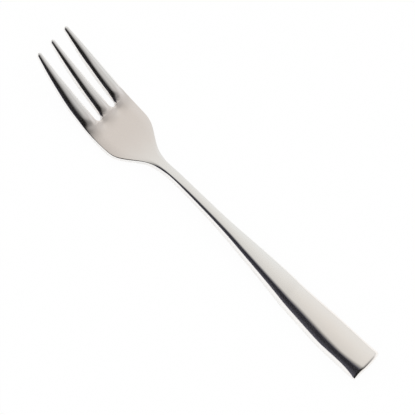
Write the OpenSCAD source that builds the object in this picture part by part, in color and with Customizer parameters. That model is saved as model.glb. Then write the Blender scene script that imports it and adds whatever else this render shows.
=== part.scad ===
// Three-tined pastry fork formed from one strip of polished stainless steel.
// It lies on the table on the flat underside near the handle end and on the
// rounded belly of the head, tines up, with +Y toward the tines.

/* [Overall] */
// Length from the tine tips to the end of the handle
fork_length = 150; // [130:0.5:170]
// Distance from the tine tips back to the narrowest point of the neck
head_length = 60; // [54:0.5:66]
// Distance from the tine tips back to the lowest point of the belly
belly_distance = 38; // [35:0.5:42]
// Height of the underside of the tine tips above the table
tip_rise = 9.2; // [6:0.1:16]
// Height of the highest point of the underside between belly and handle end
arch_height = 2.3; // [1:0.05:5]

/* [Head] */
// Widest part of the head
head_width = 21.7; // [19:0.1:26]
// Sheet thickness of the head
head_thickness = 1.8; // [1.4:0.05:2.4]
// Rounding of the top edge around the head and the slots
rim_round = 0.35; // [0.2:0.05:0.5]

/* [Tines] */
// Length of a slot from the tips to its root
tine_length = 30; // [26:0.5:33]
// Width of the middle tine beside the root
tine_root_width = 5.2; // [4:0.1:6]
// Width of a tine just behind its nose
tine_tip_width = 1.7; // [1.2:0.05:2.6]
// Distance from the middle tine to an outer one at the tips
tip_spacing = 7.34; // [6:0.02:8.5]
// Distance from the middle of a slot root to the fork's centre line
root_spacing = 3.84; // [3.4:0.01:4.4]
// Length of the round end of a slot
slot_root_round = 1.3; // [0.8:0.1:2]
// Thickness of a tine along its ridge
tine_thickness = 2.3; // [1.6:0.05:2.6]
// Thickness of a tine tip
tip_thickness = 1.4; // [0.9:0.05:1.6]
// How far the rounded flank of a tine reaches in from its edge
tine_reach = 2.6; // [2:0.05:3.4]
// How far the rounded flank of a tine falls
tine_fall = 1.2; // [0.6:0.05:1.6]
// Length of the rounded nose of a tine
tine_nose = 1; // [0.5:0.05:1.6]

/* [Neck] */
// Narrowest width of the neck
neck_width = 3.7; // [3:0.1:6]
// Thickness of the neck
neck_thickness = 2.2; // [2:0.05:4]
// Rounding of the top edges of the neck
neck_round = 0.65; // [0.4:0.05:1.4]

/* [Handle] */
// Width of the handle at its end
handle_width = 14.0; // [9:0.1:18]
// Thickness of the edge of the handle at its end
handle_thickness = 3.6; // [2.4:0.05:4.5]
// Distance from the handle end to the front of the flat underside that rests on the table
foot_distance = 34.5; // [30:0.5:38]
// Length of the flat underside that rests on the table
foot_length = 12; // [8:0.5:16]
// Height of the turned-up handle end's underside above the table
end_rise = 1.5; // [0.5:0.05:2.5]
// How far the rounded flank reaches in at the corners of the handle end
handle_reach = 4.3; // [3.5:0.05:5.5]
// How far the long rounded flank at the handle end falls
handle_fall = 2.6; // [1.4:0.05:2.9]
// Height of the crown along the middle of the handle
handle_crown = 0.6; // [0:0.02:0.9]
// How far the middle of the handle end stands out past its corners
end_bulge = 0.5; // [0.1:0.05:1]
// Rounding of the top edge of the handle end
end_round = 1.8; // [0.6:0.05:2.4]
// Length of handle over which the bulge of the end fades out
bulge_reach = 6; // [3:0.5:10]

/* [Edges] */
// Height of the upright part left below a rounded edge
edge_land = 0.4; // [0.2:0.05:0.6]
// Rounding of the lower edges
lower_round = 0.3; // [0.15:0.05:0.5]

/* [Hidden] */

// Places across one third of the top face, as shares of it
lane_shares = [0, 0.02, 0.06, 0.13, 0.23, 0.36, 0.5, 0.64, 0.77, 0.87, 0.94, 0.98, 1];
lane_steps = len(lane_shares) - 1;
half_lane = lane_steps / 2;
// Intervals round a lower edge, round a slot root and along each stretch
lower_steps = 2;
root_steps = 6;
nose_steps = 5;
handle_steps = 30;
palm_steps = 34;
tine_steps = 18;

half_length = fork_length / 2;
handle_length = fork_length - head_length;
palm_length = head_length - tine_length;
foot_start = fork_length - foot_distance;
foot_end = foot_start + foot_length;
arch_span = foot_start - belly_distance;
tine_spread = tip_spacing + tine_tip_width / 2;

// Rows are [share of the way along, share of the change], the way running from
// the handle end to the neck, from the neck to the slot roots, and so on
handle_width_shares = [[0, 1], [0.022, 0.99], [0.074, 0.951], [0.112, 0.947], [0.189, 0.951],
    [0.256, 0.879], [0.333, 0.777], [0.411, 0.672], [0.478, 0.563], [0.556, 0.434], [0.633, 0.305],
    [0.7, 0.189], [0.778, 0.097], [0.856, 0.053], [0.922, 0.022], [1, 0]];
palm_width_shares = [[0.147, 0.02], [0.243, 0.08], [0.324, 0.2], [0.406, 0.411], [0.49, 0.65],
    [0.574, 0.86], [0.658, 0.958], [0.767, 0.984], [0.9, 0.995], [1, 1]];
spread_shares = [[0.1, 0], [0.32, 0.06], [0.54, 0.264], [0.763, 0.555], [0.9, 0.8], [1, 1]];
tine_width_shares = [[0, 1], [0.1, 0.97], [0.32, 0.82], [0.54, 0.63], [0.763, 0.36], [0.9, 0.15],
    [1, 0]];
arch_shares = [[0, 0], [0.032, 0.1], [0.11, 0.326], [0.2, 0.539], [0.29, 0.643], [0.368, 0.735],
    [0.458, 0.83], [0.548, 0.935], [0.626, 0.987], [0.716, 0.92], [0.781, 0.63], [0.845, 0.25],
    [0.884, 0.065], [0.921, 0.01], [1, 0]];
rise_shares = [[0.034, 0.002], [0.105, 0.018], [0.197, 0.073], [0.287, 0.15], [0.463, 0.3],
    [0.637, 0.492], [0.813, 0.722], [1, 1]];
handle_thick_shares = [[0, 1], [0.4, 1], [0.478, 0.8], [0.556, 0.571], [0.633, 0.464], [0.7, 0.35],
    [0.778, 0.21], [0.922, 0.04], [1, 0]];
palm_thick_shares = [[0.2, 0.15], [0.4, 0.6], [0.6, 0.95], [0.8, 1], [1, 1]];
root_thick_shares = [[0.1, 0.75], [0.3, 1], [0.55, 1]];
tip_thick_shares = [[0.77, 0.65], [0.9, 0.3], [1, 0]];
crown_shares = [[0, 1], [0.2, 1], [0.35, 0.85], [0.5, 0.68], [0.63, 0.52], [0.78, 0.38], [0.92, 0.2], [1, 0.1]];
handle_reach_shares = [[0, 1], [0.016, 0.959], [0.038, 0.836], [0.074, 0.685], [0.112, 0.616],
    [0.189, 0.699], [0.333, 0.644], [0.478, 0.403], [0.633, 0.241], [0.778, 0.121], [0.922, 0.063],
    [1, 0]];
palm_reach_shares = [[0.167, 0.12], [0.333, 0.5], [0.5, 1], [1, 1]];
handle_fall_shares = [[0, 0.9], [0.06, 0.95], [0.14, 1], [0.333, 1], [0.478, 0.76], [0.633, 0.45],
    [0.778, 0.22], [0.92, 0.12], [1, 0]];
neck_fade_shares = [[0.1, 0.85], [0.233, 0.45], [0.367, 0.12], [0.5, 0], [0.62, 0]];
root_fade_shares = [[0.8, 0], [0.86, 0.02], [0.9, 0.06], [0.933, 0.14], [0.967, 0.3], [1, 0.48]];
tine_fall_shares = [[0.02, 0.6], [0.05, 0.9], [0.08, 0.98], [0.2, 1], [0.55, 1], [0.77, 0.75],
    [1, 0.28]];
palm_rim_shares = [[0, 0], [0.2, 0.3], [0.4, 0.9], [0.5, 1], [1, 1]];
// Sections over the rounded end, and how much of its quarter circle is used
end_place_shares = [0, 0.05, 0.17, 0.37, 0.65, 1];
end_curve_share = 0.96;
// How sharply the handle end turns up
end_rise_power = 3;
// Most of a tine's width that one rounded flank may take
tine_flank_share = 0.49;
// Least turn of a rounded edge in degrees
least_turn = 1;

function change(a, b, share) = a + (b - a) * share;
function row_before(rows, at, i = 0) =
    i > len(rows) - 3 || at <= rows[i + 1][0] ? i : row_before(rows, at, i + 1);
function row_slope(rows, i) =
    let (a = max(i - 1, 0), b = min(i + 1, len(rows) - 1))
    (rows[b][1] - rows[a][1]) / (rows[b][0] - rows[a][0]);
function curve(rows, at) =
    let (i = row_before(rows, at),
        span = rows[i + 1][0] - rows[i][0],
        k = min(max((at - rows[i][0]) / span, 0), 1),
        rise = rows[i + 1][1] - rows[i][1],
        a = row_slope(rows, i) * span,
        b = row_slope(rows, i + 1) * span)
    rows[i][1] + k * (a + k * (3 * rise - 2 * a - b + k * (a + b - 2 * rise)));

// Full tables along the fork, each row [distance from the tips, value], the
// rows running from the handle end to the tips and then turned round
function from_end(rows, a, b) = [for (r = rows) [fork_length - handle_length * r[0], change(a, b, r[1])]];
function from_neck(rows, a, b) = [for (r = rows) [head_length - palm_length * r[0], change(a, b, r[1])]];
function from_root(rows, a, b) = [for (r = rows) [tine_length - tine_length * r[0], change(a, b, r[1])]];
function turned(rows) = [for (i = [len(rows) - 1:-1:0]) rows[i]];

root_width = change(neck_width, head_width, palm_width_shares[len(palm_width_shares) - 1][1]);
half_widths = turned(concat(
    from_end(handle_width_shares, neck_width / 2, handle_width / 2),
    from_neck(palm_width_shares, neck_width / 2, head_width / 2),
    from_root(spread_shares, root_width / 2, tine_spread)));
tine_widths = turned(from_root(tine_width_shares, tine_tip_width, tine_root_width));
undersides = turned(concat(
    [for (r = arch_shares) [foot_start - arch_span * r[0], arch_height * r[1]]],
    [for (r = rise_shares) [belly_distance - belly_distance * r[0], tip_rise * r[1]]]));
crowns = turned(concat(
    from_end(crown_shares, 0, handle_crown),
    [[head_length - palm_length / 3, 0], [0, 0]]));
thicknesses = turned(concat(
    from_end(handle_thick_shares, neck_thickness, handle_thickness),
    from_neck(palm_thick_shares, neck_thickness, head_thickness),
    from_root(root_thick_shares, head_thickness, tine_thickness),
    from_root(tip_thick_shares, tip_thickness, tine_thickness)));
reaches = turned(concat(
    from_end(handle_reach_shares, neck_round, handle_reach),
    from_neck(palm_reach_shares, neck_round, tine_reach),
    [[0, tine_reach]]));
falls = turned(concat(
    from_end(handle_fall_shares, neck_round, handle_fall),
    from_neck(neck_fade_shares, 0, neck_round),
    from_neck(root_fade_shares, 0, tine_fall),
    from_root(tine_fall_shares, 0, tine_fall)));
rims = turned(concat([[fork_length, 0]], from_neck(palm_rim_shares, 0, rim_round), [[0, rim_round]]));

function half_width_at(x) = curve(half_widths, x);
function underside_at(x) =
    x > foot_start
        ? end_rise * pow(max(0, x - foot_end) / (fork_length - foot_end), end_rise_power)
        : max(0, curve(undersides, x));
function thickness_at(x) = curve(thicknesses, x);
function fall_at(x) = max(0, min(curve(falls, x), thickness_at(x) - edge_land - lower_round - curve(rims, x)));

// How far a rounded edge lies below the face at a distance from the edge
function edge_loss(distance, reach, fall) =
    let (turn = max(2 * atan(fall / reach), least_turn),
        f = asin(min(max(1 - distance / reach, 0), 1) * sin(turn)))
    fall * (1 - cos(f)) / (1 - cos(turn));
// How far a furrow lies below the palm at a distance from its middle, blended
// from the two flanks that meet at the slot root
function furrow_loss(distance, reach, fall, x) =
    let (k = min(max(distance / reach, 0), 1), blend = min(max((x - tine_length) / slot_root_round, 0), 1))
    change(edge_loss(distance, reach, fall), fall * pow(1 - k * k, 2), blend);
function rim_loss(distance, x) =
    let (rim = curve(rims, x))
    rim > 0 ? edge_loss(distance, rim, rim) : 0;

// Half the width of a slot at a distance from the tips
function root_opening(x) =
    let (d = min(max(tine_length - x, 0), slot_root_round))
    sqrt(d * (2 * slot_root_round - d)) / slot_root_round;
function slot_centre(x) = change(root_spacing, tip_spacing / 2, 1 - x / tine_length);
function slot_half(x) =
    x < tine_length ? root_opening(x) * (slot_centre(x) - curve(tine_widths, x) / 2) : 0;

// Height of the top face with the flanks and the rims rounded. The flanks of the
// tines run on behind the slots as furrows that fade out in the palm.
furrow_end = (head_length + tine_length) / 2;
function top_at(x, y) =
    let (w = half_width_at(x), q = pow(y / w, 2), c = slot_centre(min(x, tine_length)), s = slot_half(x),
        outer = w - c - s,
        tine = abs(y) > c ? outer : 2 * (c - s),
        reach = x < furrow_end ? min(curve(reaches, x), tine * tine_flank_share) : curve(reaches, x),
        edge = w - abs(y),
        slot = abs(abs(y) - c) - s,
        loss = edge_loss(edge, reach, fall_at(x)),
        furrow = x < furrow_end ? furrow_loss(slot, reach, fall_at(x), x) : 0)
    underside_at(x) + thickness_at(x) + curve(crowns, x) * (1 - q) - max(loss, furrow)
    - rim_loss(x < tine_length ? min(edge, slot) : edge, x);

// A stretch of top face between two lane edges
function stretch(x, a, b) =
    [for (share = lane_shares) let (y = change(a, b, share)) [x, y, top_at(x, y)]];
// The lower part of the side of a section; way is 1 where metal ends toward +X
function side(x, edge, way, open) =
    [for (k = [0:lower_steps - 1])
        let (f = 90 * k / lower_steps)
        [x, edge - way * lower_round * open * (1 - cos(f)), underside_at(x) + lower_round * (1 - sin(f))]];
function low(x, places) = [for (y = places) [x, y, underside_at(x)]];
function back(points) = [for (i = [len(points) - 1:-1:0]) points[i]];
function joined(lists) = [for (l = lists) for (p = l) p];
function rest(points) = [for (i = [1:len(points) - 1]) points[i]];

// One section right across the fork between the handle end and the slot roots
seam_top_share = root_spacing / half_width_at(tine_length);
seam_bottom_share = root_spacing / (half_width_at(tine_length) - lower_round);
function body_section(x) =
    let (w = half_width_at(x), b = w - lower_round, st = w * seam_top_share, sb = b * seam_bottom_share)
    concat(
        stretch(x, -w, -st), rest(stretch(x, -st, st)), rest(stretch(x, st, w)),
        side(x, w, 1, 1),
        low(x, [b, sb, -sb, -b]),
        back(side(x, -w, -1, 1)));

// One section of a tine; which is -1, 0 or 1
function tine_section(x, which) =
    let (w = half_width_at(x), c = slot_centre(x), s = slot_half(x),
        near = which < 0 ? -w : which > 0 ? c + s : -(c - s),
        far = which < 0 ? -(c + s) : which > 0 ? w : c - s,
        near_open = which < 0 ? 1 : root_opening(x),
        far_open = which > 0 ? 1 : root_opening(x))
    concat(
        stretch(x, near, far),
        side(x, far, 1, far_open),
        low(x, [far - lower_round * far_open, near + lower_round * near_open]),
        back(side(x, near, -1, near_open)));
// The upright line at a slot root, without its two ends
function seam(way) = side(tine_length, way * root_spacing, way, 0);
function middle_of(points) =
    let (n = len(points))
    [for (k = [0:2]) let (v = [for (p = points) p[k]]) (min(v) + max(v)) / 2];
function shrunk(points, f) =
    let (m = middle_of(points))
    [for (p = points) m + (p - m) * f];

// Where the sections stand, as distances from the tips
end_places = [for (share = end_place_shares) fork_length - end_round * share];
handle_places = [for (i = [1:handle_steps]) change(fork_length - end_round, head_length, i / handle_steps)];
palm_places = [for (i = [1:palm_steps]) change(head_length, tine_length, i / palm_steps)];
body_places = concat(end_places, handle_places, palm_places);
root_places = [for (i = [1:root_steps]) tine_length - slot_root_round * (1 - cos(90 * i / root_steps))];
tine_places = [for (i = [1:tine_steps]) change(tine_length - slot_root_round, tine_nose, i / tine_steps)];
nose_places = [for (i = [1:nose_steps - 1]) tine_nose * (1 - sin(90 * i / nose_steps))];
all_tine_places = concat(root_places, tine_places, nose_places);

// The last sections at the handle end lose height and width to round the edge
function end_loss(x) =
    let (d = min(fork_length - x, end_round), k = 1 - d / end_round)
    end_round * (1 - sqrt(1 - k * k * end_curve_share));
function bulge_at(x) = end_bulge * pow(max(0, 1 - (fork_length - x) / bulge_reach), 2);
function bulged(points, x) =
    let (w = half_width_at(x), u = underside_at(x), loss = end_loss(x) / thickness_at(x))
    [for (p = points)
        let (up = p[2] - u)
        [p[0] - bulge_at(x) * pow(p[1] / w, 2), p[1] * (1 - loss * up / w / 2), u + up * (1 - loss)]];
function placed(points) = [for (p = points) [p[1], half_length - p[0], p[2]]];

body_points = joined([for (x = body_places) placed(bulged(body_section(x), x))]);
seam_points = concat(placed(seam(-1)), placed(seam(1)));
function nose_share(x) = x < tine_nose ? sqrt(1 - pow(1 - x / tine_nose, 2)) : 1;
function tine_points(which) =
    joined([for (x = all_tine_places) placed(shrunk(tine_section(x, which), nose_share(x)))]);
function nose_point(which) =
    placed([middle_of(tine_section(0, which))]);

side_count = lower_steps;
top_count = 3 * lane_steps + 1;
low_count = 4;
body_count = top_count + low_count + 2 * side_count;
lane_count = lane_steps + 1;
tine_count = lane_count + 2 + 2 * side_count;
last_body = body_count * (len(body_places) - 1);
seam_start = body_count * len(body_places);
tine_start = seam_start + 2 * side_count;
tine_total = tine_count * len(all_tine_places) + 1;

// Indices of the shared section at the slot roots, sorted by tine
function run(from, count) = [for (i = [0:count - 1]) from + i];
function root_ring(which) =
    let (left = which + 1,
        right_seam = seam_start + (which < 0 ? 0 : side_count),
        left_seam = seam_start + (which > 0 ? side_count : 0),
        bottom = last_body + top_count + side_count + 2 - left)
    concat(
        run(last_body + left * lane_steps, lane_count),
        which > 0 ? run(last_body + top_count, side_count) : run(right_seam, side_count),
        run(bottom, 2),
        which < 0 ? run(last_body + body_count - side_count, side_count)
            : back(run(left_seam, side_count)));
function tine_base(which) = tine_start + (which + 1) * tine_total;
function tine_ring(which, i) =
    i < 0 ? root_ring(which) : run(tine_base(which) + i * tine_count, tine_count);

function band(a, b) =
    let (n = len(a))
    [for (i = [0:n - 1]) let (j = (i + 1) % n) each [[a[i], b[i], b[j]], [a[i], b[j], a[j]]]];
body_faces = joined([for (s = [0:len(body_places) - 2])
    band(run(s * body_count, body_count), run((s + 1) * body_count, body_count))]);
tine_faces = joined([for (which = [-1:1]) for (s = [0:len(all_tine_places) - 1])
    band(tine_ring(which, s - 1), tine_ring(which, s))]);
nose_faces = [for (which = [-1:1])
    let (ring = tine_ring(which, len(all_tine_places) - 1), tip = tine_base(which) + tine_total - 1)
    for (i = [0:tine_count - 1]) [ring[i], tip, ring[(i + 1) % tine_count]]];
// The end face: a fan at either end of each lane, and one at either side
first_low = top_count + side_count;
function end_lane(lane) =
    let (top = lane * lane_steps, low_left = first_low + low_count - 1 - lane, low_right = low_left - 1)
    concat(
        [for (i = [0:lane_steps - 1]) [top + i, top + i + 1, i < half_lane ? low_left : low_right]],
        [[top + half_lane, low_right, low_left]]);
end_faces = concat(
    end_lane(0), end_lane(1), end_lane(2),
    [for (i = run(top_count - 1, side_count)) [i, i + 1, first_low]],
    [for (i = run(first_low + low_count, side_count)) [first_low + low_count - 1, i, (i + 1) % body_count]]);

module fork() {
    color("silver")
        polyhedron(
            points = concat(body_points, seam_points,
                tine_points(-1), nose_point(-1), tine_points(0), nose_point(0), tine_points(1), nose_point(1)),
            faces = concat(body_faces, tine_faces, nose_faces, end_faces),
            convexity = 6);
}

fork();
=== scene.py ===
"""Pastry fork in polished stainless steel, lying on a white table."""

import math

import bpy
import numpy as np
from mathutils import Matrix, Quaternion, Vector


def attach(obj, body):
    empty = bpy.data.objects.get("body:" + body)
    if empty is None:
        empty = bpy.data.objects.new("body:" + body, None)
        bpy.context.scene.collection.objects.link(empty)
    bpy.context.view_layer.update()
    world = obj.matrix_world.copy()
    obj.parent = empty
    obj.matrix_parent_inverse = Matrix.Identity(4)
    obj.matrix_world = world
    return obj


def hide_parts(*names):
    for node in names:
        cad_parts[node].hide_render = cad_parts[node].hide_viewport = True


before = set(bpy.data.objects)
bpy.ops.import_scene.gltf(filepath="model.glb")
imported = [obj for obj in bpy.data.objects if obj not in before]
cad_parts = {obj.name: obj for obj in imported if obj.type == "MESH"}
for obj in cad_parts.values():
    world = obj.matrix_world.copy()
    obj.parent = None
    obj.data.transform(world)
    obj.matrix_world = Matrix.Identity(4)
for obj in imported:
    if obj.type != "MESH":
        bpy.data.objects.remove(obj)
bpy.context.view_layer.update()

MM = 0.001

# Sizes of the fork in millimetres, as in the CAD model. Distances along the
# fork run from the tine tips.
FORK_LENGTH = 150.0
HEAD_LENGTH = 60.0
BELLY_DISTANCE = 38.0
TIP_RISE = 9.2
ARCH_HEIGHT = 2.3
HEAD_WIDTH = 21.7
HEAD_THICKNESS = 1.8
RIM_ROUND = 0.35
TINE_LENGTH = 30.0
TINE_ROOT_WIDTH = 5.2
TINE_TIP_WIDTH = 1.7
TIP_SPACING = 7.34
ROOT_SPACING = 3.84
SLOT_ROOT_ROUND = 1.3
TINE_THICKNESS = 2.3
TIP_THICKNESS = 1.4
TINE_REACH = 2.6
TINE_FALL = 1.2
TINE_NOSE = 1.0
NECK_WIDTH = 3.7
NECK_THICKNESS = 2.2
NECK_ROUND = 0.65
HANDLE_WIDTH = 14.0
HANDLE_THICKNESS = 3.6
FOOT_DISTANCE = 34.5
FOOT_LENGTH = 12.0
END_RISE = 1.5
HANDLE_REACH = 4.3
HANDLE_FALL = 2.6
HANDLE_CROWN = 0.6
END_BULGE = 0.5
END_ROUND = 1.8
BULGE_REACH = 6.0
EDGE_LAND = 0.4
LOWER_ROUND = 0.3

HANDLE_LENGTH = FORK_LENGTH - HEAD_LENGTH
PALM_LENGTH = HEAD_LENGTH - TINE_LENGTH
FOOT_START = FORK_LENGTH - FOOT_DISTANCE
FOOT_END = FOOT_START + FOOT_LENGTH
ARCH_SPAN = FOOT_START - BELLY_DISTANCE
TINE_SPREAD = TIP_SPACING + TINE_TIP_WIDTH / 2
FURROW_END = (HEAD_LENGTH + TINE_LENGTH) / 2

# Rows are (share of the way along, share of the change)
HANDLE_WIDTH_SHARES = [(0, 1), (0.022, 0.99), (0.074, 0.951), (0.112, 0.947), (0.189, 0.951),
                       (0.256, 0.879), (0.333, 0.777), (0.411, 0.672), (0.478, 0.563), (0.556, 0.434),
                       (0.633, 0.305), (0.7, 0.189), (0.778, 0.097), (0.856, 0.053), (0.922, 0.022),
                       (1, 0)]
PALM_WIDTH_SHARES = [(0.147, 0.02), (0.243, 0.08), (0.324, 0.2), (0.406, 0.411), (0.49, 0.65),
                     (0.574, 0.86), (0.658, 0.958), (0.767, 0.984), (0.9, 0.995), (1, 1)]
SPREAD_SHARES = [(0.1, 0), (0.32, 0.06), (0.54, 0.264), (0.763, 0.555), (0.9, 0.8), (1, 1)]
TINE_WIDTH_SHARES = [(0, 1), (0.1, 0.97), (0.32, 0.82), (0.54, 0.63), (0.763, 0.36), (0.9, 0.15), (1, 0)]
ARCH_SHARES = [(0, 0), (0.032, 0.1), (0.11, 0.326), (0.2, 0.539), (0.29, 0.643), (0.368, 0.735),
               (0.458, 0.83), (0.548, 0.935), (0.626, 0.987), (0.716, 0.92), (0.781, 0.63),
               (0.845, 0.25), (0.884, 0.065), (0.921, 0.01), (1, 0)]
RISE_SHARES = [(0.034, 0.002), (0.105, 0.018), (0.197, 0.073), (0.287, 0.15), (0.463, 0.3),
               (0.637, 0.492), (0.813, 0.722), (1, 1)]
HANDLE_THICK_SHARES = [(0, 1), (0.4, 1), (0.478, 0.8), (0.556, 0.571), (0.633, 0.464), (0.7, 0.35),
                       (0.778, 0.21), (0.922, 0.04), (1, 0)]
PALM_THICK_SHARES = [(0.2, 0.15), (0.4, 0.6), (0.6, 0.95), (0.8, 1), (1, 1)]
ROOT_THICK_SHARES = [(0.1, 0.75), (0.3, 1), (0.55, 1)]
TIP_THICK_SHARES = [(0.77, 0.65), (0.9, 0.3), (1, 0)]
CROWN_SHARES = [(0, 1), (0.2, 1), (0.35, 0.85), (0.5, 0.68), (0.63, 0.52), (0.78, 0.38), (0.92, 0.2),
                (1, 0.1)]
HANDLE_REACH_SHARES = [(0, 1), (0.016, 0.959), (0.038, 0.836), (0.074, 0.685), (0.112, 0.616),
                       (0.189, 0.699), (0.333, 0.644), (0.478, 0.403), (0.633, 0.241), (0.778, 0.121),
                       (0.922, 0.063), (1, 0)]
PALM_REACH_SHARES = [(0.167, 0.12), (0.333, 0.5), (0.5, 1), (1, 1)]
HANDLE_FALL_SHARES = [(0, 0.9), (0.06, 0.95), (0.14, 1), (0.333, 1), (0.478, 0.76), (0.633, 0.45),
                      (0.778, 0.22), (0.92, 0.12), (1, 0)]
NECK_FADE_SHARES = [(0.1, 0.85), (0.233, 0.45), (0.367, 0.12), (0.5, 0), (0.62, 0)]
ROOT_FADE_SHARES = [(0.8, 0), (0.86, 0.02), (0.9, 0.06), (0.933, 0.14), (0.967, 0.3), (1, 0.48)]
TINE_FALL_SHARES = [(0.02, 0.6), (0.05, 0.9), (0.08, 0.98), (0.2, 1), (0.55, 1), (0.77, 0.75), (1, 0.28)]
PALM_RIM_SHARES = [(0, 0), (0.2, 0.3), (0.4, 0.9), (0.5, 1), (0.57, 0.9), (0.65, 0.5), (0.9, 0.45),
                   (0.97, 0.9), (1, 1)]

# The palm's own side edges, which are finished softer than in the CAD model
SIDE_REACH = 4.0
SIDE_REACH_SHARES = [(0.5, 0.5), (0.6, 0.85), (0.7, 1), (1, 1)]
SIDE_TINE_REACH_SHARES = [(0.06, 0.8), (0.13, 0.1), (0.16, 0), (1, 0)]
SIDE_FALL_SHARES = [(0.5, 0.06), (0.6, 0.16), (0.733, 0.22), (0.867, 0.25), (0.933, 0.32), (1, 0.43)]
SIDE_TINE_FALL_SHARES = [(0.053, 0.68), (0.1, 0.92), (0.14, 1), (0.2, 1), (0.55, 1), (0.77, 0.75),
                         (1, 0.28)]

# How the underside turns up at the handle's end, and how round the end face is
END_RISE_POWER = 3
END_CURVE_SHARE = 0.96
# The least turn of a rounded edge
LEAST_TURN = math.radians(1)
# A flank reaches in by at most a share of its tine's width. On the fork's own
# sides the share grows just before the slot roots
TINE_FLANK_SHARE = 0.49
SIDE_FLANK_SHARE = 0.75
SIDE_FLANK_START = 25.0
SIDE_FLANK_FULL = 28.5
# The tines' flanks are steeper for a stretch before the slot roots
STEEP_START = 10.0
STEEP_FULL = 17.0
STEEP_EASE = 25.0
STEEP_END = 29.0
OUTER_STEEPNESS = 0.13
MIDDLE_STEEPNESS = 0.05
# Near the slot roots the flanks and furrows are shallower, and the bottoms of
# the furrows are rounded
FURROW_EASE = 1.8
FURROW_EASE_SHARE = 0.6
FURROW_ROUND = 1.5
# The rim of a slot gets wider toward its root
ROOT_RIM = 0.7
ROOT_RIM_START = TINE_LENGTH - 3 * SLOT_ROOT_ROUND
ROOT_RIM_FULL = TINE_LENGTH - SLOT_ROOT_ROUND

# How finely the surfaces are sampled
TABLE_STEP = 0.1
SMOOTH_WIDTH = 0.9
SMOOTH_REACH = 4 * SMOOTH_WIDTH
LANE_STEPS = 30
WALL_STEPS = 2
LOWER_STEPS = 4
END_PLACES = 9
HANDLE_PLACES = 130
PALM_PLACES = 84
BRINK_LENGTH = 1.0
BRINK_PLACES = 9
ROOT_PLACES = 15
TINE_PLACES = 80
NOSE_PLACES = 10
TIP_PLACE = 1e-6
SLOT_ROOT_PLACES = 60
SLOT_SIDE_PLACES = 240
SHARP_ANGLE = math.radians(20)
PLACES = np.arange(0, FORK_LENGTH + TABLE_STEP / 2, TABLE_STEP)

# How many points of a section lie on its top or bottom face and on one side,
# and where its second side starts
FACE_POINTS = 3 * LANE_STEPS + 1
SIDE_POINTS = WALL_STEPS + LOWER_STEPS - 1
LAST_SIDE = 2 * FACE_POINTS + SIDE_POINTS


def rows_between(rows, a, b, start, length):
    """Rows of (place along the fork, size) from rows of shares."""
    return [(start - length * r[0], a + (b - a) * r[1]) for r in rows]


def from_end(rows, a, b):
    return rows_between(rows, a, b, FORK_LENGTH, HANDLE_LENGTH)


def from_neck(rows, a, b):
    return rows_between(rows, a, b, HEAD_LENGTH, PALM_LENGTH)


def from_root(rows, a, b):
    return rows_between(rows, a, b, TINE_LENGTH, TINE_LENGTH)


profiles = {
    "half_width": from_end(HANDLE_WIDTH_SHARES, NECK_WIDTH / 2, HANDLE_WIDTH / 2)
    + from_neck(PALM_WIDTH_SHARES, NECK_WIDTH / 2, HEAD_WIDTH / 2)
    + from_root(SPREAD_SHARES, HEAD_WIDTH / 2, TINE_SPREAD),
    "tine_width": from_root(TINE_WIDTH_SHARES, TINE_TIP_WIDTH, TINE_ROOT_WIDTH),
    "underside": rows_between(ARCH_SHARES, 0, ARCH_HEIGHT, FOOT_START, ARCH_SPAN)
    + rows_between(RISE_SHARES, 0, TIP_RISE, BELLY_DISTANCE, BELLY_DISTANCE),
    "crown": from_end(CROWN_SHARES, 0, HANDLE_CROWN) + [(HEAD_LENGTH - PALM_LENGTH / 3, 0), (0, 0)],
    "thickness": from_end(HANDLE_THICK_SHARES, NECK_THICKNESS, HANDLE_THICKNESS)
    + from_neck(PALM_THICK_SHARES, NECK_THICKNESS, HEAD_THICKNESS)
    + from_root(ROOT_THICK_SHARES, HEAD_THICKNESS, TINE_THICKNESS)
    + from_root(TIP_THICK_SHARES, TIP_THICKNESS, TINE_THICKNESS),
    "reach": from_end(HANDLE_REACH_SHARES, NECK_ROUND, HANDLE_REACH)
    + from_neck(PALM_REACH_SHARES, NECK_ROUND, TINE_REACH) + [(0, TINE_REACH)],
    "fall": from_end(HANDLE_FALL_SHARES, NECK_ROUND, HANDLE_FALL)
    + from_neck(NECK_FADE_SHARES, 0, NECK_ROUND) + from_neck(ROOT_FADE_SHARES, 0, TINE_FALL)
    + from_root(TINE_FALL_SHARES, 0, TINE_FALL),
    "side_reach": from_end(HANDLE_REACH_SHARES, NECK_ROUND, HANDLE_REACH)
    + from_neck(PALM_REACH_SHARES[:2], NECK_ROUND, TINE_REACH)
    + from_neck(SIDE_REACH_SHARES, NECK_ROUND, SIDE_REACH)
    + from_root(SIDE_TINE_REACH_SHARES, TINE_REACH, SIDE_REACH),
    "side_fall": from_end(HANDLE_FALL_SHARES, NECK_ROUND, HANDLE_FALL)
    + from_neck(NECK_FADE_SHARES[:3], 0, NECK_ROUND) + from_neck(SIDE_FALL_SHARES, 0, TINE_FALL)
    + from_root(SIDE_TINE_FALL_SHARES, 0, TINE_FALL),
    "rim": [(FORK_LENGTH, 0)] + from_neck(PALM_RIM_SHARES, 0, RIM_ROUND) + [(0, RIM_ROUND)],
}


def curve(rows, places):
    """A smooth curve through the rows, read at an array of places."""
    rows = sorted(rows)
    px = np.array([r[0] for r in rows], float)
    py = np.array([r[1] for r in rows], float)
    low = np.maximum(np.arange(len(px)) - 1, 0)
    high = np.minimum(np.arange(len(px)) + 1, len(px) - 1)
    slope = (py[high] - py[low]) / (px[high] - px[low])
    i = np.clip(np.searchsorted(px, places, side="left") - 1, 0, len(px) - 2)
    span = px[i + 1] - px[i]
    k = np.clip((places - px[i]) / span, 0, 1)
    rise = py[i + 1] - py[i]
    a, b = slope[i] * span, slope[i + 1] * span
    return py[i] + k * (a + k * (3 * rise - 2 * a - b + k * (a + b - 2 * rise)))


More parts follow.
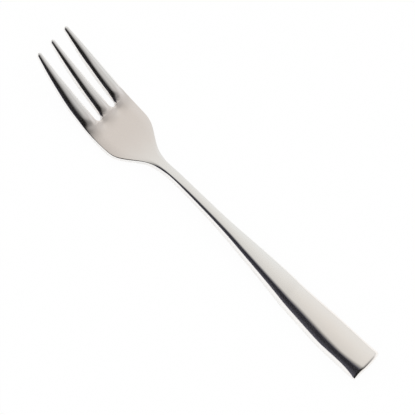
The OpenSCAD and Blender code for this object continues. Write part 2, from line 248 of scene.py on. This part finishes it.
def softened(values):
    """The sampled values with their small kinks evened out."""
    reach = int(SMOOTH_REACH / TABLE_STEP)
    weights = np.exp(-0.5 * (np.arange(-reach, reach + 1) * TABLE_STEP / SMOOTH_WIDTH) ** 2)
    weights /= weights.sum()
    before = 2 * values[0] - values[reach:0:-1]
    after = 2 * values[-1] - values[-2:-reach - 2:-1]
    return np.convolve(np.concatenate([before, values, after]), weights, mode="valid")


def sampled_profiles():
    """Every profile read at the places along the fork."""
    sampled = {}
    for name, rows in profiles.items():
        values = curve(rows, PLACES)
        if name == "underside":
            past_foot = np.maximum(0, PLACES - FOOT_END) / (FORK_LENGTH - FOOT_END)
            turned_up = END_RISE * past_foot ** END_RISE_POWER
            values = np.where(PLACES > FOOT_START, turned_up, np.maximum(values, 0))
        sampled[name] = softened(values)
    room = sampled["thickness"] - EDGE_LAND - LOWER_ROUND - sampled["rim"]
    for name in ("fall", "side_fall"):
        sampled[name] = np.clip(sampled[name], 0, room)
    sampled["outline_slope"] = np.gradient(sampled["half_width"], TABLE_STEP)
    return sampled


tables = sampled_profiles()


def at(name, x):
    """A sampled profile read at a place along the fork."""
    return np.interp(x, PLACES, tables[name])


def smooth_step(x, low, high):
    """A smooth rise from 0 at the low place to 1 at the high one."""
    k = min(max((x - low) / (high - low), 0), 1)
    return k * k * (3 - 2 * k)


def quarter_turn(count):
    """Shares from 0 to 1, spaced like points round a quarter of a circle."""
    return 1 - np.cos(np.linspace(0, math.pi / 2, count))


def edge_loss(distance, reach, fall):
    """How far a rounded edge lies below the face at a distance from the edge."""
    turn = np.maximum(2 * np.arctan2(fall, reach), LEAST_TURN)
    f = np.arcsin(np.clip(1 - distance / reach, 0, 1) * np.sin(turn))
    return fall * (1 - np.cos(f)) / (1 - np.cos(turn))


def furrow_loss(distance, reach, fall, x):
    """How far a flank or furrow lies below the face at a distance from the slot,
    or from the middle of the furrow behind it."""
    near_root = (x - TINE_LENGTH) / FURROW_EASE
    fall = fall * (1 - FURROW_EASE_SHARE * math.exp(-near_root ** 2))
    round_off = FURROW_ROUND * smooth_step(near_root, -1, 1)
    distance = np.maximum(distance, 0)
    return edge_loss(np.sqrt(distance ** 2 + round_off ** 2) - round_off, reach, fall)


def root_opening(x):
    """How far a slot is open at its round root, from 0 to 1."""
    d = np.clip(TINE_LENGTH - x, 0, SLOT_ROOT_ROUND)
    return np.sqrt(d * (2 * SLOT_ROOT_ROUND - d)) / SLOT_ROOT_ROUND


def slot_centre(x):
    """How far the middle line of a slot is from the fork's."""
    return ROOT_SPACING + (TIP_SPACING / 2 - ROOT_SPACING) * (1 - x / TINE_LENGTH)


def slot_half(x):
    """Half the width of a slot."""
    return root_opening(x) * (slot_centre(x) - at("tine_width", x) / 2)


def slot_points():
    """Points round the outline of the slot on the +X side."""
    turn = TINE_LENGTH - SLOT_ROOT_ROUND * quarter_turn(SLOT_ROOT_PLACES)
    places = np.concatenate([turn, np.linspace(turn[-1], 0, SLOT_SIDE_PLACES)[1:]])
    return np.concatenate([np.stack([places, slot_centre(places) + way * slot_half(places)], 1)
                           for way in (-1, 1)])


slot_outline = slot_points()


def slot_distance(x, y):
    """Distance from a point to the nearer slot's outline."""
    here = np.stack([np.broadcast_to(x, y.shape), np.abs(y)], -1)
    gap = here[..., None, :] - slot_outline
    return np.sqrt((gap ** 2).sum(-1).min(-1))


def flanks_loss(x, y, edge):
    """How far the flanks of the tines lie below the top face. They run on behind
    the slots as furrows that fade out."""
    centre, opening = slot_centre(min(x, TINE_LENGTH)), slot_half(x)
    outer = np.abs(y) > centre
    tine = np.where(outer, at("half_width", x) - centre - opening, 2 * (centre - opening))
    steep = smooth_step(x, STEEP_START, STEEP_FULL) * (1 - smooth_step(x, STEEP_EASE, STEEP_END))
    flank = TINE_FLANK_SHARE - steep * np.where(outer, OUTER_STEEPNESS, MIDDLE_STEEPNESS)
    reach = np.minimum(at("reach", x), flank * tine)
    widened = smooth_step(x, SIDE_FLANK_START, SIDE_FLANK_FULL)
    side_flank = TINE_FLANK_SHARE + (SIDE_FLANK_SHARE - TINE_FLANK_SHARE) * widened
    side_reach = np.minimum(at("side_reach", x), side_flank * tine)
    from_slot = np.abs(np.abs(y) - centre) - opening
    return np.maximum(edge_loss(edge, side_reach, at("side_fall", x)),
                      furrow_loss(from_slot, reach, at("fall", x), x))


def rims_loss(x, y, edge):
    """How far the small rims round the sides and slots lie below the top face."""
    rim = at("rim", x)
    loss = edge_loss(edge, rim, rim)
    if x < TINE_LENGTH + ROOT_RIM:
        slot_rim = rim + (ROOT_RIM - rim) * smooth_step(x, ROOT_RIM_START, ROOT_RIM_FULL)
        loss = np.maximum(loss, edge_loss(slot_distance(x, y), slot_rim, rim))
    return loss


def top_height(x, y):
    """Height of the top face with the flanks and rims rounded; x is one place."""
    half = at("half_width", x)
    z = at("underside", x) + at("thickness", x) + at("crown", x) * (1 - (y / half) ** 2)
    lean = 1 / math.hypot(1, at("outline_slope", x))
    edge = (half - np.abs(y)) * lean
    if x < FURROW_END:
        z = z - flanks_loss(x, y, edge)
    else:
        z = z - edge_loss(edge, at("side_reach", x), at("side_fall", x))
    if at("rim", x) > 0:
        z = z - rims_loss(x, y, edge)
    return z


def spaced(a, b):
    """Places from a to b, close together at both ends."""
    k = 0.5 * (1 - np.cos(np.linspace(0, math.pi, LANE_STEPS + 1)))
    return a + (b - a) * k


def lanes(edges):
    """Places across a face through the given lane edges."""
    out = spaced(edges[0], edges[1])
    for a, b in zip(edges[1:-1], edges[2:]):
        out = np.concatenate([out, spaced(a, b)[1:]])
    return out


def face_points(x, ys, on_top):
    zs = top_height(x, ys) if on_top else np.full(len(ys), at("underside", x))
    return [(x, float(y), float(z)) for y, z in zip(ys, zs)]


def wall(x, edge, way, opened):
    """The side of a section from under the top edge to above the bottom face."""
    high = top_height(x, np.array([edge]))[0]
    low = float(at("underside", x))
    points = []
    for k in range(1, WALL_STEPS + 1):
        z = high + (low + LOWER_ROUND - high) * k / WALL_STEPS
        points.append((x, edge, z))
    for k in range(1, LOWER_STEPS):
        f = math.pi / 2 * k / LOWER_STEPS
        points.append((x, edge - way * LOWER_ROUND * opened * (1 - math.cos(f)),
                       low + LOWER_ROUND * (1 - math.sin(f))))
    return points


def body_section(x):
    """A section of the handle, neck or palm, with lanes that lead to the tines."""
    half, root_half = float(at("half_width", x)), float(at("half_width", TINE_LENGTH))
    seam = ROOT_SPACING * half / root_half
    low = half - LOWER_ROUND
    low_seam = ROOT_SPACING * low / (root_half - LOWER_ROUND)
    return (face_points(x, lanes([-half, -seam, seam, half]), True)
            + wall(x, half, 1, 1)
            + face_points(x, lanes([low, low_seam, -low_seam, -low]), False)
            + wall(x, -half, -1, 1)[::-1])


def tine_section(x, which):
    """A section of the tine on the -X side, in the middle or on the +X side."""
    half, centre, opening = float(at("half_width", x)), slot_centre(x), float(slot_half(x))
    opened = float(root_opening(x))
    near = {-1: -half, 0: -(centre - opening), 1: centre + opening}[which]
    far = {-1: -(centre + opening), 0: centre - opening, 1: half}[which]
    near_opened = 1 if which < 0 else opened
    far_opened = 1 if which > 0 else opened
    low_near, low_far = near + LOWER_ROUND * near_opened, far - LOWER_ROUND * far_opened
    points = np.array(face_points(x, lanes([near, far]), True)
                      + wall(x, far, 1, far_opened)
                      + face_points(x, lanes([low_far, low_near]), False)
                      + wall(x, near, -1, near_opened)[::-1])
    if x < TINE_NOSE:
        middle = (points.min(0) + points.max(0)) / 2
        points = middle + (points - middle) * math.sqrt(1 - (1 - x / TINE_NOSE) ** 2)
    return points


def end_rounded(points, x):
    """A body section, bulged and rounded where it is near the handle's end."""
    points = np.array(points)
    half = float(at("half_width", x))
    k = 1 - min(FORK_LENGTH - x, END_ROUND) / END_ROUND
    loss = END_ROUND * (1 - math.sqrt(1 - k * k * END_CURVE_SHARE))
    bulge = END_BULGE * max(0, 1 - (FORK_LENGTH - x) / BULGE_REACH) ** 2
    points[:, 0] -= bulge * (points[:, 1] / half) ** 2
    low, high = float(at("underside", x)), float(at("thickness", x))
    up = points[:, 2] - low
    points[:, 1] *= 1 - loss / high * up / half / 2
    points[:, 2] = low + up * (1 - loss / high)
    return points


class Skin:
    """Points in metres and faces of one closed mesh."""

    def __init__(self):
        self.points = []
        self.faces = []

    def add(self, points):
        """Adds points given in millimetres and returns their numbers."""
        first = len(self.points)
        for x, y, z in points:
            self.points.append((y * MM, (FORK_LENGTH / 2 - x) * MM, z * MM))
        return list(range(first, len(self.points)))

    def band(self, a, b):
        """Joins two rings of as many points."""
        for i in range(len(a)):
            j = (i + 1) % len(a)
            self.faces.append((a[i], a[j], b[j], b[i]))


def body_rings(skin):
    """The sections from the handle end to the slot roots, joined."""
    end = FORK_LENGTH - END_ROUND * quarter_turn(END_PLACES)
    handle = np.linspace(end[-1], HEAD_LENGTH, HANDLE_PLACES)[1:]
    palm = np.linspace(HEAD_LENGTH, TINE_LENGTH + BRINK_LENGTH, PALM_PLACES)[1:]
    brink = np.linspace(TINE_LENGTH + BRINK_LENGTH, TINE_LENGTH, BRINK_PLACES)[1:]
    places = np.concatenate([end, handle, palm, brink])
    rings = [skin.add(end_rounded(body_section(x), x)) for x in places]
    for a, b in zip(rings, rings[1:]):
        skin.band(a, b)
    return rings


def close_end(skin, ring):
    """The end face, closed between the top and bottom faces and at either side."""
    for i in range(FACE_POINTS - 1):
        below = LAST_SIDE - 1 - i
        skin.faces.append((ring[i], ring[below], ring[below - 1], ring[i + 1]))
    for i in range(FACE_POINTS - 1, FACE_POINTS - 1 + SIDE_POINTS):
        skin.faces.append((ring[i], ring[FACE_POINTS + SIDE_POINTS], ring[i + 1]))
    for i in range(LAST_SIDE, LAST_SIDE + SIDE_POINTS):
        skin.faces.append((ring[LAST_SIDE - 1], ring[(i + 1) % len(ring)], ring[i]))


def add_tine(skin, root, seams, which):
    """One tine, from its part of the last body section to a closed nose."""
    lane = which + 1
    low = FACE_POINTS + SIDE_POINTS + (2 - lane) * LANE_STEPS
    ring = (root[lane * LANE_STEPS:(lane + 1) * LANE_STEPS + 1]
            + (root[FACE_POINTS:FACE_POINTS + SIDE_POINTS] if which > 0 else seams[lane])
            + root[low:low + LANE_STEPS + 1]
            + (root[LAST_SIDE:LAST_SIDE + SIDE_POINTS] if which < 0 else seams[lane - 1][::-1]))
    places = np.concatenate([
        TINE_LENGTH - SLOT_ROOT_ROUND * quarter_turn(ROOT_PLACES)[1:],
        np.linspace(TINE_LENGTH - SLOT_ROOT_ROUND, TINE_NOSE, TINE_PLACES)[1:],
        TINE_NOSE * (1 - np.sin(np.linspace(0, math.pi / 2, NOSE_PLACES)[1:-1]))])
    for x in places:
        following = skin.add(tine_section(float(x), which))
        skin.band(ring, following)
        ring = following
    points = tine_section(TIP_PLACE, which)
    tip = skin.add([(points.min(0) + points.max(0)) / 2])[0]
    for i in range(len(ring)):
        skin.faces.append((ring[i], ring[(i + 1) % len(ring)], tip))


def fork_skin():
    """The closed surface of the fork."""
    skin = Skin()
    rings = body_rings(skin)
    close_end(skin, rings[0])
    # At the slot roots the tines share the last section and two uprights
    seams = [skin.add(wall(TINE_LENGTH, way * ROOT_SPACING, way, 0)) for way in (-1, 1)]
    for which in (-1, 0, 1):
        add_tine(skin, rings[-1], seams, which)
    return skin


def make_fork():
    skin = fork_skin()
    mesh = bpy.data.meshes.new("steel_fork")
    mesh.from_pydata(skin.points, [], skin.faces)
    mesh.validate()
    mesh.shade_smooth()
    mesh.set_sharp_from_angle(angle=SHARP_ANGLE)
    made = bpy.data.objects.new("steel_fork", mesh)
    bpy.context.scene.collection.objects.link(made)
    return made


class Nodes:
    """A node tree, with short calls that add a node and fill its inputs."""

    def __init__(self, tree, empty=True):
        self.tree = tree
        if empty:
            tree.nodes.clear()

    def add(self, kind, **settings):
        made = self.tree.nodes.new(kind)
        for name, value in settings.items():
            setattr(made, name, value)
        return made

    def fill(self, socket, value):
        """Links the socket to another one, or gives it a plain value."""
        if isinstance(value, bpy.types.NodeSocket):
            self.tree.links.new(value, socket)
        else:
            socket.default_value = value

    def math(self, operation, *values):
        """What an operation makes of sockets or plain numbers."""
        made = self.add("ShaderNodeMath", operation=operation)
        for socket, value in zip(made.inputs, values):
            self.fill(socket, value)
        return made.outputs[0]

    def ranged(self, value, low, high, to_low=0.0, to_high=1.0, smooth=False):
        """A value stretched from one range to another and held at its ends."""
        made = self.add("ShaderNodeMapRange", interpolation_type="SMOOTHSTEP" if smooth else "LINEAR")
        given = {"Value": value, "From Min": low, "From Max": high, "To Min": to_low, "To Max": to_high}
        for name, number in given.items():
            self.fill(made.inputs[name], number)
        return made.outputs["Result"]

    def mix(self, factor, a, b, **settings):
        """Two values or colours mixed by a factor."""
        made = self.add("ShaderNodeMix", **settings)
        for name, value in (("Factor", factor), ("A", a), ("B", b)):
            self.fill(made.inputs[name], value)
        return made.outputs["Result"]

    def choose(self, factor, first, second):
        """Two shaders mixed by a factor."""
        made = self.add("ShaderNodeMixShader")
        for socket, value in zip(made.inputs, (factor, first, second)):
            self.fill(socket, value)
        return made.outputs["Shader"]

    def parts(self, vector):
        """The X, Y and Z of a vector."""
        made = self.add("ShaderNodeSeparateXYZ")
        self.fill(made.inputs["Vector"], vector)
        return made.outputs

    def ramp(self, factor, stops):
        """A colour ramp through stops of (place, colour)."""
        made = self.add("ShaderNodeValToRGB")
        elements = made.color_ramp.elements
        while len(elements) < len(stops):
            elements.new(0.5)
        for element, (place, colour) in zip(elements, stops):
            element.position = place
            element.color = colour
        self.fill(made.inputs["Fac"], factor)
        return made.outputs["Color"]


# The steel. Each noise has its stretch along X, Y and Z, its detail, and a
# number that shifts it away from the others
DRAWN_LINES = (5200, 70, 5200), 3, 1
SOFT_PATCHES = (210, 95, 210), 2, 2
RUB_MARKS = (900, 260, 900), 4, 3
NOISE_SHIFT_X, NOISE_SHIFT_Y = 0.013, 0.007
WARM_STEEL = (0.9675, 0.918, 0.876, 1)
COOL_STEEL = (0.969, 0.96, 0.945, 1)
WARM_AT, COOL_AT = 0.1, 0.9
PATCH_SHARE = 0.35
# Painted reflection tints: the handle's end is painted a little warmer than the neck, and side faces are
# painted cool
WARM_END, WARM_FADE = -0.06, 0.045
SIDES_FROM, SIDES_TO = 0.7, 0.3
# Painted shade: the palm's top is painted a little less bright than the rest, most toward the slot roots
PALM_FROM, PALM_FULL, PALM_TO, PALM_FADE = 0.016, 0.037, 0.042, 0.012
PALM_PAINTED_SHADE = (0.88, 0.825, 0.8, 1)
MARKS_LOW, MARKS_HIGH = 0.3, 0.7
SMOOTHEST, ROUGHEST = 0.09, 0.14
LINES_STRENGTH, LINES_DEPTH = 0.03, 0.00002


def steel():
    """Polished steel with faint drawn lines along the fork and soft patches, with painted reflection
    tints and painted shade on the palm.
    """
    material = bpy.data.materials.new("polished_steel")
    material.use_nodes = True
    nodes = Nodes(material.node_tree)
    shader = nodes.add("ShaderNodeBsdfPrincipled")
    out = nodes.add("ShaderNodeOutputMaterial")
    nodes.fill(out.inputs["Surface"], shader.outputs["BSDF"])
    shader.inputs["Metallic"].default_value = 1.0
    place = nodes.add("ShaderNodeTexCoord").outputs

    def noise(stretch, detail, number):
        moved = nodes.add("ShaderNodeMapping")
        moved.inputs["Scale"].default_value = stretch
        moved.inputs["Location"].default_value = (number * NOISE_SHIFT_X, number * NOISE_SHIFT_Y, 0)
        nodes.fill(moved.inputs["Vector"], place["Object"])
        made = nodes.add("ShaderNodeTexNoise")
        made.inputs["Scale"].default_value = 1.0
        made.inputs["Detail"].default_value = detail
        nodes.fill(made.inputs["Vector"], moved.outputs["Vector"])
        return made.outputs["Fac"]

    along = nodes.parts(place["Object"])["Y"]
    # Painted reflection: faces that turn to the side, and the fork short of the handle's end, get the
    # cool tint, and random soft patches mix in
    sides = nodes.ranged(nodes.parts(place["Normal"])["Z"], SIDES_FROM, SIDES_TO)
    past_end = nodes.ranged(along, WARM_END, WARM_END + WARM_FADE, smooth=True)
    painted_cool_reflection = nodes.math("MAXIMUM", past_end, sides)
    reflection_and_mottling = nodes.mix(PATCH_SHARE, painted_cool_reflection, noise(*SOFT_PATCHES))
    tint = nodes.ramp(reflection_and_mottling, [(WARM_AT, WARM_STEEL), (COOL_AT, COOL_STEEL)])
    # Painted shade on the palm's top faces, which fades out toward the neck and along the tines
    rising = nodes.ranged(along, PALM_FROM, PALM_FULL, smooth=True)
    falling = nodes.ranged(along, PALM_TO + PALM_FADE, PALM_TO, smooth=True)
    palm = nodes.math("MULTIPLY", nodes.math("MULTIPLY", rising, falling),
                      nodes.math("SUBTRACT", 1.0, sides))
    palm_shaded = nodes.mix(palm, tint, PALM_PAINTED_SHADE, data_type="RGBA", blend_type="MULTIPLY")
    nodes.fill(shader.inputs["Base Color"], palm_shaded)
    rough = nodes.ranged(noise(*RUB_MARKS), MARKS_LOW, MARKS_HIGH, SMOOTHEST, ROUGHEST)
    nodes.fill(shader.inputs["Roughness"], rough)
    bump = nodes.add("ShaderNodeBump")
    bump.inputs["Strength"].default_value = LINES_STRENGTH
    bump.inputs["Distance"].default_value = LINES_DEPTH
    nodes.fill(bump.inputs["Height"], noise(*DRAWN_LINES))
    nodes.fill(shader.inputs["Normal"], bump.outputs["Normal"])
    return material


fork = make_fork()
fork.data.materials.append(steel())
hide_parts("fork")
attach(fork, "root")

# The white table lies just under the fork. Seen directly it is plain white with
# a trace of shadow, and mirrored in the steel it shows more of the shadow.
TABLE_SIZE = 6.0
TABLE_GAP = 0.00002
TABLE_COLOUR = (0.97, 0.97, 0.97, 1)
TABLE_ROUGHNESS = 0.9
SEEN_WHITE = 0.95
MIRRORED_WHITE = 0.4
WHITE = (1, 1, 1, 1)


def white_paper():
    material = bpy.data.materials.new("white_table")
    material.use_nodes = True
    nodes = Nodes(material.node_tree, empty=False)
    shader = material.node_tree.nodes["Principled BSDF"]
    shader.inputs["Base Color"].default_value = TABLE_COLOUR
    shader.inputs["Roughness"].default_value = TABLE_ROUGHNESS
    shader.inputs["Specular IOR Level"].default_value = 0.0
    paths = nodes.add("ShaderNodeLightPath").outputs
    seen = nodes.math("MULTIPLY", paths["Is Camera Ray"], SEEN_WHITE)
    plain = nodes.math("MULTIPLY_ADD", paths["Is Glossy Ray"], MIRRORED_WHITE, seen)
    glow = nodes.add("ShaderNodeEmission")
    glow.inputs["Color"].default_value = WHITE
    glow.inputs["Strength"].default_value = 1.0
    mixed = nodes.choose(plain, shader.outputs["BSDF"], glow.outputs["Emission"])
    nodes.fill(material.node_tree.nodes["Material Output"].inputs["Surface"], mixed)
    return material


bpy.ops.mesh.primitive_plane_add(size=TABLE_SIZE, location=(0, 0, -TABLE_GAP))
table = bpy.context.object
table.name = "table"
table.data.materials.append(white_paper())

# Soft light from all round, which only the steel sees in detail. Going over the
# fork it is bright on the far side, fades over the zenith and ends in a dark
# screen on the near side. Rows are (degrees from the zenith toward the near
# side, brightness), first for the light over the fork and then for the light
# toward the handle end, which fades sooner
SKY_ROWS = [(-90, 0.8), (-75, 0.81), (-55, 0.82), (-44, 0.82), (-33, 0.76), (-24, 0.685), (-15, 0.57),
            (-5, 0.41), (5, 0.26), (15, 0.1), (24, 0.022), (50, 0.022), (90, 0.09)]
END_SKY_ROWS = [(-90, 0.86), (-75, 0.82), (-60, 0.79), (-45, 0.65), (-33, 0.56), (-24, 0.49), (-14, 0.42),
                (-5, 0.33), (3, 0.2), (9, 0.08), (16, 0.01), (90, 0.006)]
# The tints of the middle, the dark and the bright rows of each
SKY_TINTS = (1.0, 0.985, 0.95), (0.93, 0.93, 1.2), (0.98, 0.985, 0.97)
END_SKY_TINTS = (1.0, 0.985, 0.968), (1.0, 0.93, 0.88), (0.965, 0.97, 0.975)
DARK_BELOW, BRIGHT_ABOVE = 0.2, 0.78
# Places along the fork are the Y of a direction, below 0 toward the handle end
END_SKY_FROM, END_SKY_TO = -0.2, -0.38
# Further toward the handle end the dark screen leans over the fork
LEAN_FROM, LEAN_TO, LEAN = -0.38, -0.52, math.radians(9)
# A dim patch near the zenith, and a faint dim ring across the whole sky
PATCH_ANGLE, PATCH_WIDTH = math.radians(-6), math.radians(15)
PATCH_PLACE, PATCH_REACH, PATCH_DARKNESS = -0.3, 0.085, 0.5
RING_PLACE, RING_REACH, RING_DARKNESS = -0.225, 0.085, 0.15
# Low over the handle end it is dark, but for the far side
LOW_FROM, LOW_FULL, LOW_DARKNESS = -0.46, -0.68, 0.8
LOW_ANGLE, LOW_FADE = math.radians(-60), math.radians(9)
# Past both ends of the fork the light is plain, and brighter low down
TINE_END_FROM, TINE_END_FULL = 0.38, 0.56
HANDLE_END_FROM, HANDLE_END_FULL = -0.86, -0.94
ENDS_LOW, ENDS_HIGH = 0.85, 0.45
# Between the depths of the first mirror image and the second
FIRST_IMAGE_DEPTH = 1.5


def sky_stops(rows, tints):
    """The stops of a ramp from the far side over the zenith to the near side."""
    middle, dark, bright = tints
    stops = []
    for degrees, value in rows:
        tint = dark if value < DARK_BELOW else bright if value > BRIGHT_ABOVE else middle
        stops.append(((degrees + 90) / 180, tuple(value * w for w in tint) + (1,)))
    return stops


def sky_colour(nodes):
    """The colour of the light from a direction."""
    parts = nodes.parts(nodes.add("ShaderNodeTexCoord").outputs["Generated"])
    along = parts["Y"]
    angle = nodes.math("ARCTAN2", nodes.math("MULTIPLY", parts["X"], -1.0), parts["Z"])

    def offset_squared(value, middle, reach):
        offset = nodes.math("DIVIDE", nodes.math("SUBTRACT", value, middle), reach)
        return nodes.math("MULTIPLY", offset, offset)

    def left_by(squared, darkness):
        """The share of light that a soft dim spot leaves."""
        spot = nodes.math("EXPONENT", nodes.math("MULTIPLY", squared, -1.0))
        return nodes.math("SUBTRACT", 1.0, nodes.math("MULTIPLY", spot, darkness))

    leaning = nodes.math("ADD", angle, nodes.ranged(along, LEAN_TO, LEAN_FROM, LEAN, 0.0))
    turned = nodes.ranged(leaning, -math.pi / 2, math.pi / 2)
    over_end = nodes.ranged(along, END_SKY_TO, END_SKY_FROM, 1.0, 0.0, True)
    both = nodes.mix(over_end, nodes.ramp(turned, sky_stops(SKY_ROWS, SKY_TINTS)),
                     nodes.ramp(turned, sky_stops(END_SKY_ROWS, END_SKY_TINTS)), data_type="RGBA")
    patch = left_by(nodes.math("ADD", offset_squared(angle, PATCH_ANGLE, PATCH_WIDTH),
                               offset_squared(along, PATCH_PLACE, PATCH_REACH)), PATCH_DARKNESS)
    low_dark = nodes.math("MULTIPLY", nodes.ranged(along, LOW_FROM, LOW_FULL, 0.0, LOW_DARKNESS),
                          nodes.ranged(angle, LOW_ANGLE, LOW_ANGLE + LOW_FADE, 0.0, 1.0, True))
    ring = left_by(offset_squared(along, RING_PLACE, RING_REACH), RING_DARKNESS)
    left = nodes.math("MULTIPLY", patch, nodes.math("SUBTRACT", 1.0, low_dark))
    dimmed = nodes.add("ShaderNodeVectorMath", operation="SCALE")
    nodes.fill(dimmed.inputs[0], both)
    nodes.fill(dimmed.inputs["Scale"], nodes.math("MULTIPLY", left, ring))
    ends = nodes.math("ADD", nodes.ranged(along, TINE_END_FROM, TINE_END_FULL, smooth=True),
                      nodes.ranged(along, HANDLE_END_FROM, HANDLE_END_FULL, smooth=True))
    plain = nodes.ranged(parts["Z"], 0.0, 1.0, ENDS_LOW, ENDS_HIGH)
    return nodes.mix(ends, dimmed.outputs["Vector"], plain, data_type="RGBA")


def make_light():
    """The world, white but for the first mirror image, which shows the sky. Later
    images stay white, which keeps the tines from mirroring dark lines of one
    another."""
    world = bpy.data.worlds.new("studio")
    world.use_nodes = True
    bpy.context.scene.world = world
    nodes = Nodes(world.node_tree)
    sky = nodes.add("ShaderNodeBackground")
    nodes.fill(sky.inputs["Color"], sky_colour(nodes))
    white = nodes.add("ShaderNodeBackground")
    white.inputs["Color"].default_value = WHITE
    paths = nodes.add("ShaderNodeLightPath").outputs
    first = nodes.math("LESS_THAN", paths["Glossy Depth"], FIRST_IMAGE_DEPTH)
    mirrored = nodes.math("MULTIPLY", paths["Is Glossy Ray"], first)
    chosen = nodes.choose(mirrored, white.outputs["Background"], sky.outputs["Background"])
    nodes.fill(nodes.add("ShaderNodeOutputWorld").inputs["Surface"], chosen)


make_light()

# The camera looks square to the fork, down from its near side, and is rolled
# so that the tines point to the upper left
CAMERA_ELEVATION = math.radians(57)
CAMERA_AZIMUTH = math.radians(-90)
CAMERA_ROLL = math.radians(44.4)
CAMERA_LENS = 1200
CAMERA_TARGET = Vector((0.0, -0.00033, 0.00357))
FRAME_WIDTH = 0.13676
SENSOR_WIDTH = 36
CLIP_START, CLIP_END = 0.01, 20


def make_camera():
    back = Vector((math.sin(CAMERA_AZIMUTH) * math.cos(CAMERA_ELEVATION),
                   -math.cos(CAMERA_AZIMUTH) * math.cos(CAMERA_ELEVATION),
                   math.sin(CAMERA_ELEVATION)))
    data = bpy.data.cameras.new("camera")
    data.lens = CAMERA_LENS
    data.sensor_width = SENSOR_WIDTH
    data.clip_start = CLIP_START
    data.clip_end = CLIP_END
    camera = bpy.data.objects.new("camera", data)
    camera.location = CAMERA_TARGET + back * (FRAME_WIDTH * CAMERA_LENS / SENSOR_WIDTH)
    camera.rotation_mode = "QUATERNION"
    straight = (-back).to_track_quat("-Z", "Y")
    camera.rotation_quaternion = straight @ Quaternion((0, 0, 1), CAMERA_ROLL)
    bpy.context.scene.collection.objects.link(camera)
    bpy.context.scene.camera = camera


make_camera()

bpy.context.scene.view_settings.view_transform = "Standard"
